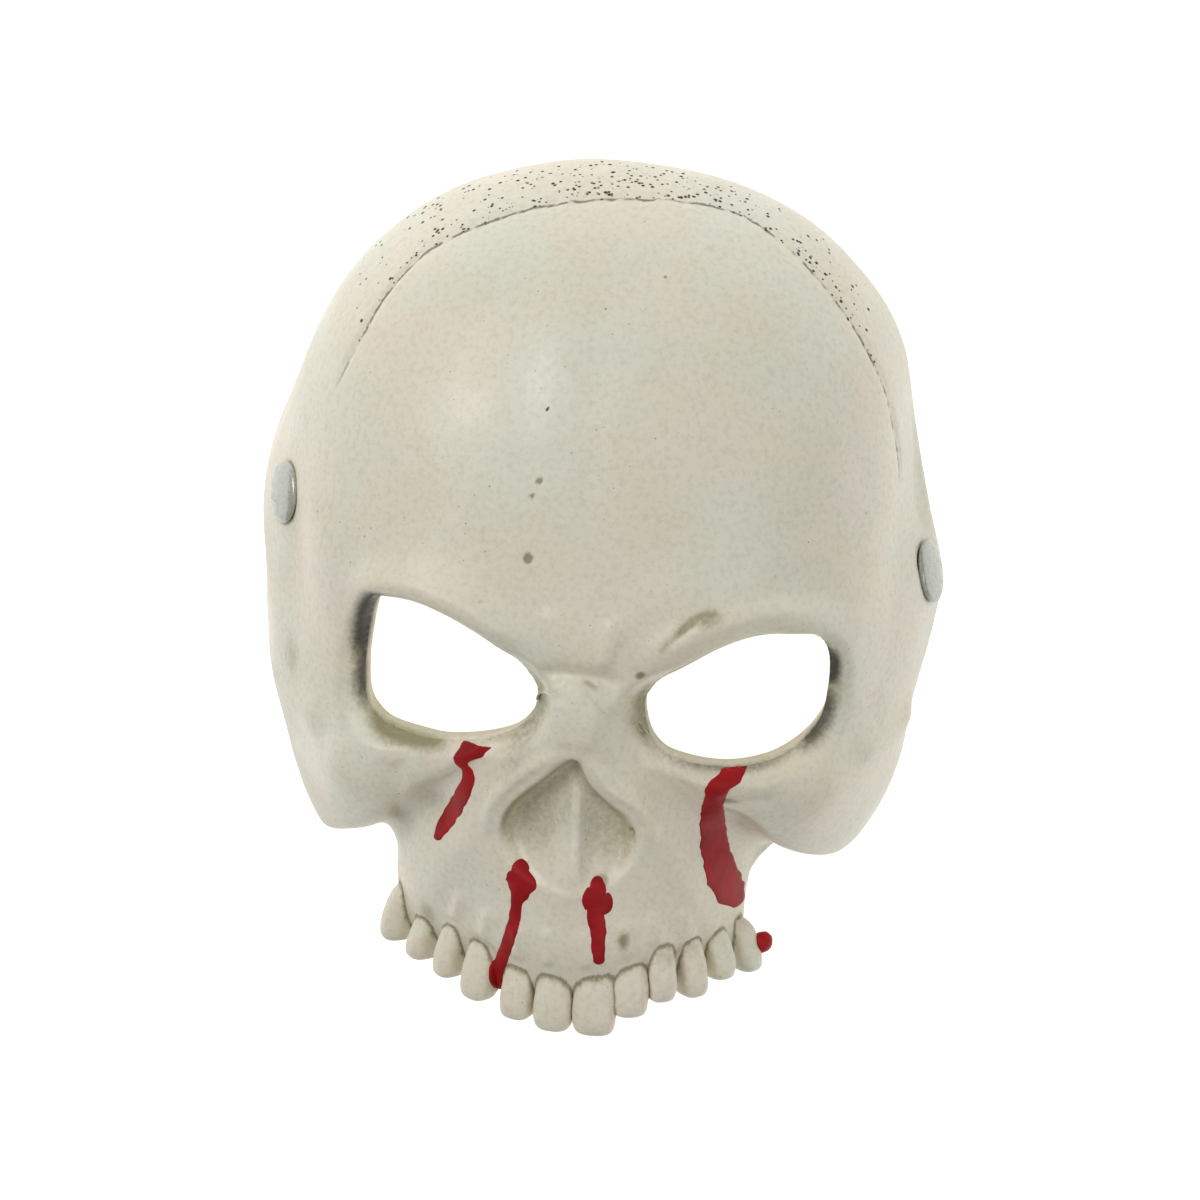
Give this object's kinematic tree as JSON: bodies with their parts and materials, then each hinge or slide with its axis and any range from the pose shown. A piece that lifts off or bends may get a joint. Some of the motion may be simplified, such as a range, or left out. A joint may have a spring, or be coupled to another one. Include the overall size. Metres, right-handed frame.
{
  "type": "skull half mask",
  "caption": "Moulded foam half mask shaped as a skull without its lower jaw, open at the eyes and hollow behind, with a rivet at each temple for a head strap.",
  "frame": {"origin": "the point on the table under the middle of the mask's bounding box", "axes": "+Y from the teeth to the crown, +Z out of the face and up from the table the mask lies on, +X towards the right as the face is looked at"},
  "size_m": [0.1903, 0.2212, 0.0877],
  "materials": {
    "painted_foam": "cream paint, satin",
    "painted_rivet": "grey cream paint, satin",
    "blood_paint": "crimson paint, glossy"
  },
  "bodies": {
    "root": {"skull_shell": "painted_foam", "rivet_cap_left": "painted_rivet", "rivet_cap_right": "painted_rivet", "rivet_post_left": "painted_rivet", "rivet_post_right": "painted_rivet"}
  },
  "joints": []
}
